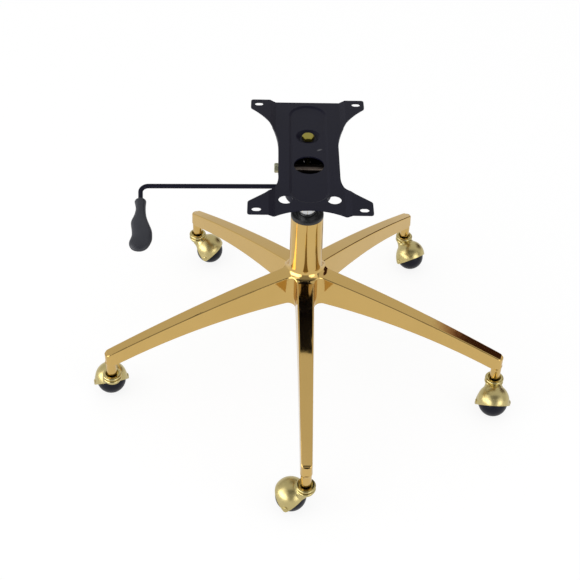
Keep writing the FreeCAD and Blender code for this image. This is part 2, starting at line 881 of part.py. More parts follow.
def housing_plan(inset, bottom, top):
    """Prism of the housing's plan: a rectangle with a round rear end and rounded front corners."""
    x = housing_half_width - inset
    rear = housing_rear + inset
    front = housing_front - inset
    radius = housing_corner_radius - inset
    shape = box((-x, rear, bottom), (x, front, top))
    upright = [e for e in shape.Edges if abs(e.tangentAt(e.FirstParameter).z) > 0.9]
    rear_edges = [e for e in upright if e.CenterOfMass.y < 0]
    front_edges = [e for e in upright if e.CenterOfMass.y > 0]
    shape = shape.makeFillet(x - 0.5, rear_edges)
    front_edges = [e for e in shape.Edges if abs(e.tangentAt(e.FirstParameter).z) > 0.9
                   and e.CenterOfMass.y > front - 0.01 and abs(abs(e.CenterOfMass.x) - x) < 0.01]
    return shape.makeFillet(radius, front_edges)


def housing_side_cut():
    """Side view of the housing above its walls: low at the rear, high at the pivot and the front."""
    far = housing_half_width + 10
    return polygon_face([
        (-far, housing_rear - 5, housing_rear_height),
        (-far, lever_y - 14, housing_rear_height),
        (-far, lever_y - 6, housing_lever_height),
        (-far, pivot_y - 24, housing_side_height),
        (-far, pivot_y + 16, housing_side_height),
        (-far, tension_y - 18, housing_front_height),
        (-far, housing_front + 5, housing_front_height),
        (-far, housing_front + 5, plate_top),
        (-far, housing_rear - 5, plate_top),
    ]).extrude(V(2 * far, 0, 0))


def lower_housing():
    floor = housing_floor_bottom
    shell = housing_plan(0.0, floor, plate_top)
    shell = shell.cut(housing_plan(housing_wall, floor + housing_wall, plate_top + 1))
    shell = shell.cut(housing_side_cut())
    bush_hole = cylinder(cone_bush_radius, floor - 1, floor + housing_wall + 1)
    sleeve_hole = cylinder_x(pivot_sleeve_radius, -60, 60, pivot_y, pivot_z)
    half = tension_slot_half_width
    far = tension_y + tension_slot_travel
    slot = box((-half, tension_y, floor - 1), (half, far, floor + housing_wall + 1))
    slot = slot.fuse([cylinder(half, floor - 1, floor + housing_wall + 1, 0, tension_y),
                      cylinder(half, floor - 1, floor + housing_wall + 1, 0, far)])
    reach = lever_rod_radius + lever_slot_gap
    drop = 3 * math.radians(lever_swing) * housing_wall
    lever_slot = box((-housing_half_width - 1, lever_y - reach, lever_z - reach - drop),
                     (-housing_half_width + lever_slot_depth, lever_y + reach, lever_z + reach + drop))
    return shell.cut([bush_hole, sleeve_hole, slot, lever_slot])


def cone_bush():
    """Tapered socket in the housing floor, which the cone of the cylinder jams in."""
    low = housing_floor_bottom - cone_bush_drop
    top = housing_floor_bottom + housing_wall + cone_bush_rise
    slope = (cylinder_radius - cone_top_radius) / (cone_top - cone_bottom)
    low_radius = cylinder_radius - slope * (low - cone_bottom)
    top_radius = cylinder_radius - slope * (top - cone_bottom)
    return revolve([(low_radius, low), (cone_bush_radius - 1, low), (cone_bush_radius, low + 1),
                    (cone_bush_radius, top), (top_radius, top)])


def pivot_sleeve():
    """Tube welded through both walls, which the pivot bolt turns in."""
    reach = housing_half_width + sleeve_overhang
    tube = cylinder_x(pivot_sleeve_radius, -reach, reach, pivot_y, pivot_z)
    return tube.cut(cylinder_x(pivot_bolt_radius + running_gap, -reach - 1, reach + 1, pivot_y, pivot_z))


def flange_inner_x():
    return waist_half_width - plate_thickness


def pivot_washers():
    """Plain nylon washers: one up to the left flange and a thin one up to the nut on the right."""
    inner = housing_half_width + sleeve_overhang
    left = flange_inner_x() - washer_gap
    right = flange_inner_x() - pivot_nut_thickness - washer_gap
    shapes = []
    for low, high in ((-left, -inner), (inner, right)):
        ring = cylinder_x(washer_radius, low, high, pivot_y, pivot_z)
        hole = cylinder_x(pivot_bolt_radius + running_gap, low - 1, high + 1, pivot_y, pivot_z)
        shapes.append(ring.cut(hole))
    return Part.makeCompound(shapes)


def stop_pad():
    """Rubber pad on the front wall of the housing, where the seat plate rests."""
    top = plate_top - plate_thickness - channel_depth - stop_pad_gap
    low = housing_front_height
    front = housing_front
    rear = housing_front - housing_wall
    half = stop_pad_half_width
    pad = box((-half, rear - stop_pad_wall, low - stop_pad_skirt), (half, front + stop_pad_wall, top))
    return pad.cut(box((-half - 1, rear, low - stop_pad_skirt - 1), (half + 1, front, low)))


# Seat plate


def plate_outline():
    """Closed plan outline of the seat plate, worked out on the right side and mirrored."""
    ear = ear_half_width
    far = plate_centre_y + slot_spacing_y / 2 + ear_far_margin
    near = plate_centre_y - slot_spacing_y / 2 - ear_near_margin
    c = ear_corner_radius
    diag = c * (1 - math.sqrt(0.5))
    waist = waist_half_width
    big = far_flare_radius
    # The far flare runs from the waist until it meets the side of the ear.
    rise = math.sqrt(big ** 2 - (waist + big - ear) ** 2)
    flare_end = V(ear, waist_far_y + rise, 0)
    half_turn = math.asin(rise / big) / 2
    flare_mid = V(waist + big * (1 - math.cos(half_turn)), waist_far_y + big * math.sin(half_turn), 0)
    small = near_flare_radius
    turn = math.radians(near_flare_angle)
    near_end = V(waist + small * (1 - math.cos(turn)), waist_near_y - small * math.sin(turn), 0)
    near_mid = V(waist + small * (1 - math.cos(turn / 2)), waist_near_y - small * math.sin(turn / 2), 0)
    shoulder = V(ear, near_end.y - (ear - near_end.x) / math.tan(turn), 0)
    scoop = near_edge_scoop_half_width
    lead = scoop + near_edge_scoop_lead
    step = near + near_edge_scoop_step
    pieces = [
        Part.makeLine(V(0, far, 0), V(ear - c, far, 0)),
        Part.Arc(V(ear - c, far, 0), V(ear - diag, far - diag, 0), V(ear, far - c, 0)).toShape(),
        Part.makeLine(V(ear, far - c, 0), flare_end),
        Part.Arc(flare_end, flare_mid, V(waist, waist_far_y, 0)).toShape(),
        Part.makeLine(V(waist, waist_far_y, 0), V(waist, waist_near_y, 0)),
        Part.Arc(V(waist, waist_near_y, 0), near_mid, near_end).toShape(),
        Part.makeLine(near_end, shoulder),
        Part.makeLine(shoulder, V(ear, near + c, 0)),
        Part.Arc(V(ear, near + c, 0), V(ear - diag, near + diag, 0), V(ear - c, near, 0)).toShape(),
        Part.makeLine(V(ear - c, near, 0), V(lead, near, 0)),
        Part.makeLine(V(lead, near, 0), V(scoop, step, 0)),
    ]
    arch = Part.Arc(V(scoop, step, 0), V(0, near + near_edge_scoop, 0), V(-scoop, step, 0)).toShape()
    mirrored = [p.mirror(V(0, 0, 0), V(1, 0, 0)) for p in pieces]
    return Part.Wire(Part.__sortEdges__(pieces + [arch] + mirrored))


def plate_prism(low, high):
    """Upright prism of the outline, with the inner corners of the ears rounded."""
    prism = Part.Face(plate_outline()).extrude(V(0, 0, high - low))
    prism.translate(V(0, 0, low))
    corners = []
    for edge in prism.Edges:
        place = edge.CenterOfMass
        upright = abs(edge.tangentAt(edge.FirstParameter).z) > 0.9
        at_side = abs(abs(place.x) - ear_half_width) < 0.1
        if upright and at_side and abs(place.y - plate_centre_y) < ear_inner_y:
            corners.append(edge)
    return prism.makeFillet(ear_inner_rounding, corners)


def joggled_sheet():
    """Sheet with raised ears on both sides, as long as the plate."""
    a = joggle_inner
    b = joggle_outer
    w = ear_half_width + 5
    top = plate_top
    t = plate_thickness
    lift = ear_lift
    profile = [(-w, top + lift), (-b, top + lift), (-a, top), (a, top), (b, top + lift), (w, top + lift),
               (w, top + lift - t), (b + 0.6, top + lift - t), (a + 0.6, top - t), (-a - 0.6, top - t),
               (-b - 0.6, top + lift - t), (-w, top + lift - t)]
    y = plate_centre_y - slot_spacing_y / 2 - 40
    return polygon_face([(x, y, z) for x, z in profile]).extrude(V(0, slot_spacing_y + 80, 0))


def channel_outline(grow, z):
    """Outline of the channel with straight sides and round ends, grown all round."""
    half = channel_half_width + grow
    near = channel_near_y + channel_half_width
    far = channel_far_y - channel_half_width
    return Part.Wire([
        Part.makeLine(V(half, near, z), V(half, far, z)),
        Part.Arc(V(half, far, z), V(0, far + half, z), V(-half, far, z)).toShape(),
        Part.makeLine(V(-half, far, z), V(-half, near, z)),
        Part.Arc(V(-half, near, z), V(0, near - half, z), V(half, near, z)).toShape(),
    ])


def channel_solid(floor, height, grow):
    """Channel with sloping sides from its floor up to a height."""
    spread = channel_slope_width * height / channel_depth
    outlines = [channel_outline(grow, floor), channel_outline(grow + spread, floor + height)]
    return Part.makeLoft(outlines, True, True)


def side_flanges():
    """Down-turned edges along the waist, deeper round the pivot."""
    t = plate_thickness
    top = plate_top - t / 2
    low = pivot_z - pivot_lobe_radius - 5
    solid = Part.Face(plate_outline()).extrude(V(0, 0, top - low))
    solid.translate(V(0, 0, low))
    inner_face = flange_inner_x()
    big = far_flare_radius + t
    small = near_flare_radius + t
    end_far = waist_far_y + flange_far_reach
    end_near = waist_near_y - flange_near_reach
    reach = 60.0
    far = 2 * ear_half_width
    core = box((-reach, end_near, low - 1), (reach, end_far, top + 1)).common(solid)
    rooms = []
    for side in (-1, 1):
        far_centre = side * (waist_half_width + far_flare_radius)
        near_centre = side * (waist_half_width + near_flare_radius)
        far_wedge = cylinder(big, low - 2, top + 2, far_centre, waist_far_y)
        near_wedge = cylinder(small, low - 2, top + 2, near_centre, waist_near_y)
        rooms.append(far_wedge.common(box((-far, waist_far_y, low - 2), (far, end_far + 1, top + 2))))
        rooms.append(near_wedge.common(box((-far, end_near - 1, low - 2), (far, waist_near_y, top + 2))))
        left = min(side * inner_face, side * reach)
        right = max(side * inner_face, side * reach)
        rooms.append(box((left, waist_near_y, low - 2), (right, waist_far_y, top + 2)))
    flange = core.common(rooms[0].fuse(rooms[1:]))
    depth_low = plate_top - flange_depth
    lobe_near = V(-far, pivot_y - pivot_lobe_radius, pivot_z)
    lobe_low = V(-far, pivot_y, pivot_z - pivot_lobe_radius)
    lobe_far = V(-far, pivot_y + pivot_lobe_radius, pivot_z)
    side_view = [
        Part.makeLine(V(-far, end_near, top), V(-far, end_near, depth_low + 6)),
        Part.makeLine(V(-far, end_near, depth_low + 6), V(-far, end_near + 12, depth_low)),
        Part.makeLine(V(-far, end_near + 12, depth_low), V(-far, pivot_y - 26, depth_low)),
        Part.makeLine(V(-far, pivot_y - 26, depth_low), lobe_near),
        Part.Arc(lobe_near, lobe_low, lobe_far).toShape(),
        Part.makeLine(lobe_far, V(-far, pivot_y + 26, depth_low)),
        Part.makeLine(V(-far, pivot_y + 26, depth_low), V(-far, end_far, top)),
        Part.makeLine(V(-far, end_far, top), V(-far, end_near, top)),
    ]
    prism = Part.Face(Part.Wire(side_view)).extrude(V(2 * far, 0, 0))
    return flange.common(prism)


def slot_cut(x, y):
    half = (slot_length - slot_width) / 2
    r = slot_width / 2
    low = plate_top - 5
    high = plate_top + ear_lift + 5
    return box((x - half, y - r, low), (x + half, y + r, high)).fuse(
        [cylinder(r, low, high, x - half, y), cylinder(r, low, high, x + half, y)])


def dimple(grow, drop):
    """Shallow cup round the tension screw: the outside when grown, or the hollow in it."""
    top = plate_top - channel_depth
    return revolve([(0, top - dimple_depth - drop), (dimple_floor_radius + grow, top - dimple_depth - drop),
                    (dimple_radius + grow, top + 0.1 - drop), (dimple_radius + grow, top + 3 - drop),
                    (0, top + 3 - drop)])


def seat_plate():
    t = plate_thickness
    plate = joggled_sheet().common(plate_prism(plate_top - 45, plate_top + 15))
    trough_bottom = plate_top - t - channel_depth
    trough = channel_solid(trough_bottom, channel_depth + channel_overlap, channel_wall_growth)
    hollow = channel_solid(plate_top - channel_depth, channel_depth + 1, 0)
    shell = dimple(dimple_wall_growth, t)
    shell.translate(V(0, tension_y, 0))
    far_side = box((-ear_half_width, 0, 0), (ear_half_width, 2 * tension_y, plate_top - channel_depth))
    shell = shell.common(far_side)
    bowl = dimple(0.0, 0.0)
    bowl.translate(V(0, tension_y, 0))
    plate = plate.fuse([trough, shell, side_flanges()])
    cuts = [hollow, bowl]
    cuts.append(cylinder(tension_bolt_radius, plate_top - 30, plate_top + 5, 0, tension_y))
    cuts.append(cylinder(access_hole_radius, plate_top - 20, plate_top + 5, 0, access_hole_y))
    for side in (-1, 1):
        hole_x = side * near_hole_x
        cuts.append(cylinder(near_hole_radius, plate_top - 10, plate_top + 5, hole_x, near_hole_y))
        for end in (-1, 1):
            cuts.append(slot_cut(side * slot_spacing_x / 2, plate_centre_y + end * slot_spacing_y / 2))
    cuts.append(cylinder_x(pivot_bolt_radius, -80, 80, pivot_y, pivot_z))
    return plate.cut(cuts).removeSplitter()


def pivot_bolt():
    """Hexagon bolt whose head stands outside the left flange and whose end is flush at the right."""
    head = hexagon(pivot_head_flats, 0, pivot_head_thickness, 30)
    wide = pivot_head_flats / 2 + 0.9
    crown = revolve([(0, -1), (wide, -1), (wide, pivot_head_thickness - 1),
                     (wide - 1.5, pivot_head_thickness), (0, pivot_head_thickness)])
    head = head.common(crown)
    shank = cylinder(pivot_bolt_radius, -2 * waist_half_width, 0)
    bolt = head.fuse(shank)
    bolt.rotate(V(0, 0, 0), V(0, 1, 0), -90)
    bolt.translate(V(-waist_half_width, pivot_y, pivot_z))
    return bolt


def pivot_nut():
    """Weld nut on the inside of the right flange."""
    nut = hexagon(pivot_head_flats, 0, pivot_nut_thickness, 30)
    nut = nut.cut(cylinder(pivot_bolt_radius, -1, pivot_nut_thickness + 1))
    nut.rotate(V(0, 0, 0), V(0, 1, 0), -90)
    nut.translate(V(flange_inner_x(), pivot_y, pivot_z))
    return nut


# Tension screw


def dimple_floor():
    return plate_top - channel_depth - dimple_depth


def spring_top():
    return housing_floor_bottom - spring_seat_thickness


def knob_top():
    return spring_top() - spring_height


def tension_bolt():
    floor = dimple_floor()
    head = hexagon(tension_head_flats, floor, floor + tension_head_thickness)
    crown = revolve([(0, floor - 1), (tension_head_flats / 2 + 1.2, floor - 1),
                     (tension_head_flats / 2 + 1.2, floor + tension_head_thickness - 1.2),
                     (tension_head_flats / 2 - 0.8, floor + tension_head_thickness),
                     (0, floor + tension_head_thickness)])
    shank = cylinder(tension_bolt_radius, knob_top() - knob_height + 8, floor)
    bolt = head.common(crown).fuse(shank)
    bolt.translate(V(0, tension_y, 0))
    return bolt


def spring_seat():
    """Washer under the housing floor, with a long hole for the screw's swing."""
    top = housing_floor_bottom
    low = top - spring_seat_thickness
    ring = cylinder(spring_seat_radius, low, top)
    half = tension_slot_half_width
    hole = box((-half, 0, low - 1), (half, tension_slot_travel, top + 1))
    near_end = cylinder(half, low - 1, top + 1)
    far_end = cylinder(half, low - 1, top + 1, 0, tension_slot_travel)
    hole = hole.fuse([near_end, far_end])
    ring = ring.cut(hole)
    ring.translate(V(0, tension_y, 0))
    return ring


def tension_spring():
    """Round wire coil between the spring seat and the knob."""
    low = knob_top() + spring_wire_radius
    high = spring_top() - spring_wire_radius
    pitch = (high - low) / spring_turns
    helix = Part.makeHelix(pitch, high - low, spring_radius)
    start = V(spring_radius, 0, 0)
    section = Part.Wire(Part.makeCircle(spring_wire_radius, start, V(0, 1, 0)))
    coil = Part.Wire(helix).makePipeShell([section], True, True)
    coil.translate(V(0, tension_y, low))
    return coil


def tension_knob():
    top = knob_top()
    low = top - knob_height
    body = revolve([(tension_bolt_radius, low + 6), (knob_radius - 7, low + 6), (knob_radius - 7, low),
                    (knob_radius - 2, low), (knob_radius, low + 3), (knob_radius, top - 5),
                    (knob_radius - 3, top), (tension_bolt_radius, top)])
    grips = []
    for k in range(knob_grip_count):
        a = math.radians(360.0 / knob_grip_count * k)
        x = (knob_radius + 1.5) * math.cos(a)
        y = (knob_radius + 1.5) * math.sin(a)
        grips.append(cylinder(knob_grip_radius, low - 1, top + 1, x, y))
    knob = body.cut(grips)
    knob.translate(V(0, tension_y, 0))
    return knob


# Height lever


def handle_direction():
    splay = math.radians(lever_splay)
    droop = math.radians(lever_droop)
    return V(math.sin(splay) * math.cos(droop), -math.cos(splay) * math.cos(droop), -math.sin(droop))


def rod_height(x):
    """Height of the rod's axis, which falls a little from the housing to the bend."""
    return lever_z + (x - lever_pivot_x) * math.tan(math.radians(lever_slope))


def bend_points():
    """Corner of the lever, and where its bend starts and ends."""
    corner = V(lever_bend_x, lever_y, rod_height(lever_bend_x))
    back = (V(0, lever_y, rod_height(0)) - corner).normalize()
    out = handle_direction()
    half = math.acos(back.dot(out)) / 2
    cut = lever_bend_radius / math.tan(half)
    start = corner + V(back).multiply(cut)
    end = corner + V(out).multiply(cut)
    inward = (back + out).normalize()
    centre = corner + V(inward).multiply(lever_bend_radius / math.sin(half))
    middle = centre - V(inward).multiply(lever_bend_radius)
    return corner, start, middle, end


def lever_rod():
    corner, start, middle, end = bend_points()
    out = handle_direction()
    inner = V(lever_inner_end, lever_y, rod_height(lever_inner_end))
    tip = corner + V(out).multiply(handle_start + handle_socket)
    path = Part.Wire([Part.makeLine(inner, start), Part.Arc(start, middle, end).toShape(),
                      Part.makeLine(end, tip)])
    section = Part.Wire(Part.makeCircle(lever_rod_radius, inner, start - inner))
    rod = path.makePipeShell([section], True, False)
    return rod.fuse(lever_tongue()).removeSplitter()


def lever_tongue():
    """Flat tongue on the inner end of the lever, over the valve button."""
    low = cone_top + button_height + lever_press_gap
    near = lever_y - lever_rod_radius
    far = button_radius + tongue_margin
    return box((lever_inner_end - tongue_length, near, low), (lever_inner_end, far, low + tongue_thickness))


def ellipse_wire(distance, left, right, thick):
    """One section of the handle, across its length."""
    corner = bend_points()[0]
    along = handle_direction()
    side = V(0, 0, 1).cross(along).normalize()
    place = corner + V(along).multiply(handle_start + distance)
    centre = place + V(side).multiply((right - left) / 2)
    half = (left + right) / 2
    big = max(half, thick)
    small = min(half, thick)
    x_axis = side if half >= thick else along.cross(side)
    y_axis = along.cross(x_axis)
    curve = Part.Ellipse(centre + V(x_axis).multiply(big), centre + V(y_axis).multiply(small), centre)
    return Part.Wire(curve.toShape())


def lever_handle():
    wires = [ellipse_wire(*row) for row in handle_sections]
    body = Part.makeLoft(wires, True, False)
    corner = bend_points()[0]
    along = handle_direction()
    start = corner + V(along).multiply(handle_start - 2)
    socket = Part.makeCylinder(lever_rod_radius, handle_socket + 2, start, along)
    return body.cut(socket)


def main():
    save("star_base", star_base())
    save_casters()
    save("guide_bush", guide_bush())
    save("gas_cylinder", gas_cylinder())
    save("valve_button", valve_button())
    save("piston_rod", piston_rod())
    save("piston", piston())
    low, balls, upper, top = bearing_level()
    save("lower_race", race(low, piston_rod_radius + 0.5))
    save("ball_cage", ball_cage())
    save("upper_race", race(upper, piston_rod_radius))
    save("rubber_buffer", rubber_buffer())
    save("rod_clip", rod_clip())
    save("lower_housing", lower_housing())
    save("cone_bush", cone_bush())
    save("pivot_sleeve", pivot_sleeve())
    save("pivot_washers", pivot_washers())
    save("stop_pad", stop_pad())
    save("seat_plate", seat_plate())
    save("pivot_bolt", pivot_bolt())
    save("pivot_nut", pivot_nut())
    save("tension_bolt", tension_bolt())
    save("spring_seat", spring_seat())
    save("tension_spring", tension_spring())
    save("tension_knob", tension_knob())
    save("lever_rod", lever_rod())
    save("lever_handle", lever_handle())


main()
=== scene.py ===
"""Looks of the polished star base with ball casters, gas lift, height lever and seat plate."""

import math

import bpy
import numpy as np
from mathutils import Matrix, Vector


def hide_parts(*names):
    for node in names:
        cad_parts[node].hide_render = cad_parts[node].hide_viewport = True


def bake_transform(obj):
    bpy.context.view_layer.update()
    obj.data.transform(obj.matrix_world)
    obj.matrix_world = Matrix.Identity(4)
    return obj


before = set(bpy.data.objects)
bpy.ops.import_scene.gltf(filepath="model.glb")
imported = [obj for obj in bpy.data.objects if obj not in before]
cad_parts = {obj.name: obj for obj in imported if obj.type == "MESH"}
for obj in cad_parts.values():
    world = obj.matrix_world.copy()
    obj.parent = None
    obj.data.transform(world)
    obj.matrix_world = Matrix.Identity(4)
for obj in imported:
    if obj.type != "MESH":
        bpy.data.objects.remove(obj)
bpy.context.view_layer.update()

# Sizes in metres, and what all the materials share
MM = 0.001
CASTERS = range(1, 6)
STEM_CIRCLE = 0.324  # radius of the circle that the five caster stems stand on
NOISE_SPREAD = {"From Min": 0.3, "From Max": 0.7}  # most of a noise lies between these values

# Coil of the tilt tension screw
COIL_TOP = Vector((0.0, 0.077, 0.3446))
COIL_HEIGHT = 0.040
COIL_RADIUS = 0.015
COIL_WIRE_RADIUS = 0.0022  # thin enough for the turns to clear each other at full tilt
COIL_TURNS = 5

# Camera of the photograph
PHOTO_WIDTH = 580
FOCAL_LENGTH_IN_PIXELS = 1165.2155
SENSOR_WIDTH = 36.0
CAMERA_PLACE = Vector((-0.054307, -1.415501, 1.403243))
CAMERA_TARGET = Vector((-0.021272, 0.102949, 0.061))
CAMERA_ROLL = math.radians(1.4567)


def linear(code):
    """Linear RGBA of an sRGB hex code."""
    parts = [int(code[i:i + 2], 16) / 255 for i in (1, 3, 5)]
    return [p / 12.92 if p <= 0.04045 else ((p + 0.055) / 1.055) ** 2.4 for p in parts] + [1.0]


def add(tree, kind, inputs, **settings):
    """Adds one node with its settings, and fills or links its inputs.

    A node that is given as an input stands for the first of its outputs that is in use.
    """
    node = tree.nodes.new(kind)
    for name, value in settings.items():
        setattr(node, name, value)
    for name, value in inputs.items():
        if isinstance(value, bpy.types.Node):
            value = next(socket for socket in value.outputs if socket.enabled)
        if isinstance(value, bpy.types.NodeSocket):
            tree.links.new(value, node.inputs[name])
        else:
            node.inputs[name].default_value = value
    return node


def per_mm(size):
    """Noise scale that gives features of this size in millimetres on Object coordinates."""
    return 1.0 / (size * MM)


def bare_material(name):
    """An empty node material, its tree, and the Object coordinates that its patterns read."""
    material = bpy.data.materials.new(name)
    material.use_nodes = True
    tree = material.node_tree
    tree.nodes.clear()
    return material, tree, add(tree, "ShaderNodeTexCoord", {}).outputs["Object"]


def finish(tree, shader, relief=None, depth=0.0):
    """Ends a material with its shader's inputs, and a relief as a bump of this depth in millimetres."""
    if relief is not None:
        bump = add(tree, "ShaderNodeBump", {"Height": relief, "Distance": depth * MM, "Strength": 1.0})
        shader = {**shader, "Normal": bump}
    skin = add(tree, "ShaderNodeBsdfPrincipled", shader)
    add(tree, "ShaderNodeOutputMaterial", {"Surface": skin})


def gold_plating():
    # Titanium gold plating on a polished die casting: a warm mirror that the casting makes slightly wavy.
    material, tree, coord = bare_material("gold_plated_polished_casting")
    slow = add(tree, "ShaderNodeTexNoise", {"Vector": coord, "Scale": per_mm(60.0)})
    haze = add(tree, "ShaderNodeTexNoise",
               {"Vector": coord, "Scale": per_mm(3.0), "Detail": 4.0, "Roughness": 0.6})
    wave = add(tree, "ShaderNodeTexNoise", {"Vector": coord, "Scale": per_mm(9.0), "Detail": 1.0})
    rough = add(tree, "ShaderNodeMapRange", {"Value": haze, **NOISE_SPREAD, "To Min": 0.05, "To Max": 0.10})
    colour = add(tree, "ShaderNodeMix", {"Factor": slow, 6: linear("#D3B16E"), 7: linear("#CBA965")},
                 data_type="RGBA")
    finish(tree, {"Base Color": colour, "Metallic": 1.0, "Roughness": rough}, wave, 0.02)
    return material


def brass_plating():
    # Brass-plated pressing tumbled to a satin, which softens all it mirrors, with a turned and polished cup.
    # The tumbling is finer than the render can show, so it is drawn at 0.8 mm.
    material, tree, coord = bare_material("satin_brass_plated_pressing")
    slow = add(tree, "ShaderNodeTexNoise", {"Vector": coord, "Scale": per_mm(18.0)})
    fine = add(tree, "ShaderNodeTexNoise",
               {"Vector": coord, "Scale": per_mm(0.8), "Detail": 3.0, "Roughness": 0.6})
    satin = add(tree, "ShaderNodeMapRange", {"Value": fine, **NOISE_SPREAD, "To Min": 0.27, "To Max": 0.35})
    # Only the cup, above 43 mm and within 15.7 mm of its stem, is polished.
    height = add(tree, "ShaderNodeSeparateXYZ", {0: coord}).outputs["Z"]
    below = add(tree, "ShaderNodeMapRange",
                {"Value": height, "From Min": 0.042, "From Max": 0.044, "To Min": 1.0, "To Max": 0.35})
    beside = add(tree, "ShaderNodeMapRange",
                 {"Value": distance_to_stem(tree, coord), "From Min": 0.0152, "From Max": 0.0162,
                  "To Min": 0.35, "To Max": 1.0})
    polish = add(tree, "ShaderNodeMath", {0: below, 1: beside}, operation="MAXIMUM")
    rough = add(tree, "ShaderNodeMath", {0: satin, 1: polish}, operation="MULTIPLY")
    colour = add(tree, "ShaderNodeMix", {"Factor": slow, 6: linear("#CABB86"), 7: linear("#B8A86E")},
                 data_type="RGBA")
    finish(tree, {"Base Color": colour, "Metallic": 1.0, "Roughness": rough}, fine, 0.01)
    return material


def distance_to_stem(tree, coord):
    """Distance across the floor from a point to the nearest of the five stem axes."""
    flat = add(tree, "ShaderNodeVectorMath", {0: coord, 1: (1.0, 1.0, 0.0)}, operation="MULTIPLY")
    nearest = 1.0
    for n in CASTERS:
        angle = math.radians(72 * n - 90)
        axis = (STEM_CIRCLE * math.cos(angle), STEM_CIRCLE * math.sin(angle), 0.0)
        gap = add(tree, "ShaderNodeVectorMath", {0: flat, 1: axis}, operation="DISTANCE")
        nearest = add(tree, "ShaderNodeMath", {0: nearest, 1: gap}, operation="MINIMUM")
    return nearest


def ball_nylon():
    # Moulded nylon ball in a blue black: a smooth satin skin with a faint flow pattern.
    material, tree, coord = bare_material("moulded_nylon_ball")
    slow = add(tree, "ShaderNodeTexNoise", {"Vector": coord, "Scale": per_mm(14.0)})
    fine = add(tree, "ShaderNodeTexNoise",
               {"Vector": coord, "Scale": per_mm(1.2), "Detail": 3.0, "Roughness": 0.6})
    rough = add(tree, "ShaderNodeMapRange", {"Value": fine, **NOISE_SPREAD, "To Min": 0.26, "To Max": 0.38})
    colour = add(tree, "ShaderNodeMix", {"Factor": slow, 6: linear("#12131D"), 7: linear("#161824")},
                 data_type="RGBA")
    finish(tree, {"Base Color": colour, "IOR": 1.53, "Specular IOR Level": 0.15, "Roughness": rough},
           fine, 0.01)
    return material


def rub_mark(tree, coord):
    """How much a pale stroke near the tension screw covers: an ellipsoid, turned and soft at its rim."""
    centre = (-0.0165, -0.0410, -0.3982)
    half_axes = (0.0042, 0.0016, 0.0040)
    moved = add(tree, "ShaderNodeMapping", {"Vector": coord, "Location": centre})
    turned = add(tree, "ShaderNodeVectorRotate", {"Vector": moved, "Angle": -0.5}, rotation_type="Z_AXIS")
    scaled = add(tree, "ShaderNodeVectorMath", {0: turned, 1: half_axes}, operation="DIVIDE")
    reach = add(tree, "ShaderNodeVectorMath", {0: scaled}, operation="LENGTH")
    return add(tree, "ShaderNodeMapRange",
               {"Value": reach, "From Min": 0.3, "From Max": 1.3, "To Min": 0.75, "To Max": 0.0})


def powder_coat():
    # Black powder coat on pressed steel: an even dull sheen with a pale rub mark.
    # Its real grain is about 0.2 mm and is drawn at 0.9 mm so that it shows.
    material, tree, coord = bare_material("black_powder_coat")
    slow = add(tree, "ShaderNodeTexNoise", {"Vector": coord, "Scale": per_mm(70.0)})
    grain = add(tree, "ShaderNodeTexNoise", {"Vector": coord, "Scale": per_mm(0.9)})
    rough = add(tree, "ShaderNodeMapRange", {"Value": grain, **NOISE_SPREAD, "To Min": 0.40, "To Max": 0.52})
    paint = add(tree, "ShaderNodeMix", {"Factor": slow, 6: linear("#08081A"), 7: linear("#0E0E22")},
                data_type="RGBA")
    marked = add(tree, "ShaderNodeMix", {"Factor": rub_mark(tree, coord), 6: paint, 7: linear("#77787A")},
                 data_type="RGBA")
    finish(tree, {"Base Color": marked, "IOR": 1.5, "Specular IOR Level": 0.16, "Roughness": rough},
           grain, 0.03)
    return material


def chrome_plate():
    # Hard chrome on a ground tube: a bright metal with faint rings from the grinding, drawn 0.7 mm apart.
    material, tree, coord = bare_material("hard_chrome_plate")
    rings = add(tree, "ShaderNodeMapping", {"Vector": coord, "Scale": (0.05, 0.05, 1.0)})
    streak = add(tree, "ShaderNodeTexNoise", {"Vector": rings, "Scale": per_mm(0.7)})
    rough = add(tree, "ShaderNodeMapRange",
                {"Value": streak, **NOISE_SPREAD, "To Min": 0.10, "To Max": 0.18})
    colour = add(tree, "ShaderNodeMix", {"Factor": streak, 6: linear("#C6C7C9"), 7: linear("#D6D7D8")},
                 data_type="RGBA")
    finish(tree, {"Base Color": colour, "Metallic": 1.0, "Roughness": rough})
    return material


def moulded_black():
    # Injection-moulded black polypropylene: a dull skin with a fine spark-eroded grain, drawn at 0.7 mm.
    material, tree, coord = bare_material("moulded_black_plastic")
    grain = add(tree, "ShaderNodeTexNoise", {"Vector": coord, "Scale": per_mm(0.7)})
    slow = add(tree, "ShaderNodeTexNoise", {"Vector": coord, "Scale": per_mm(20.0)})
    rough = add(tree, "ShaderNodeMapRange", {"Value": grain, **NOISE_SPREAD, "To Min": 0.34, "To Max": 0.48})
    colour = add(tree, "ShaderNodeMix", {"Factor": slow, 6: linear("#17181A"), 7: linear("#1F2022")},
                 data_type="RGBA")
    finish(tree, {"Base Color": colour, "IOR": 1.49, "Roughness": rough}, grain, 0.03)
    return material


def grip_plastic():
    # Moulded black handle with a coarser leather-like grain, drawn at 1.6 mm so that it shows.
    material, tree, coord = bare_material("grained_black_handle")
    grain = add(tree, "ShaderNodeTexNoise",
                {"Vector": coord, "Scale": per_mm(1.6), "Detail": 3.0, "Roughness": 0.6})
    slow = add(tree, "ShaderNodeTexNoise", {"Vector": coord, "Scale": per_mm(25.0)})
    rough = add(tree, "ShaderNodeMapRange", {"Value": grain, **NOISE_SPREAD, "To Min": 0.38, "To Max": 0.55})
    colour = add(tree, "ShaderNodeMix", {"Factor": slow, 6: linear("#1F2129"), 7: linear("#292B34")},
                 data_type="RGBA")
    finish(tree, {"Base Color": colour, "IOR": 1.49, "Roughness": rough}, grain, 0.10)
    return material


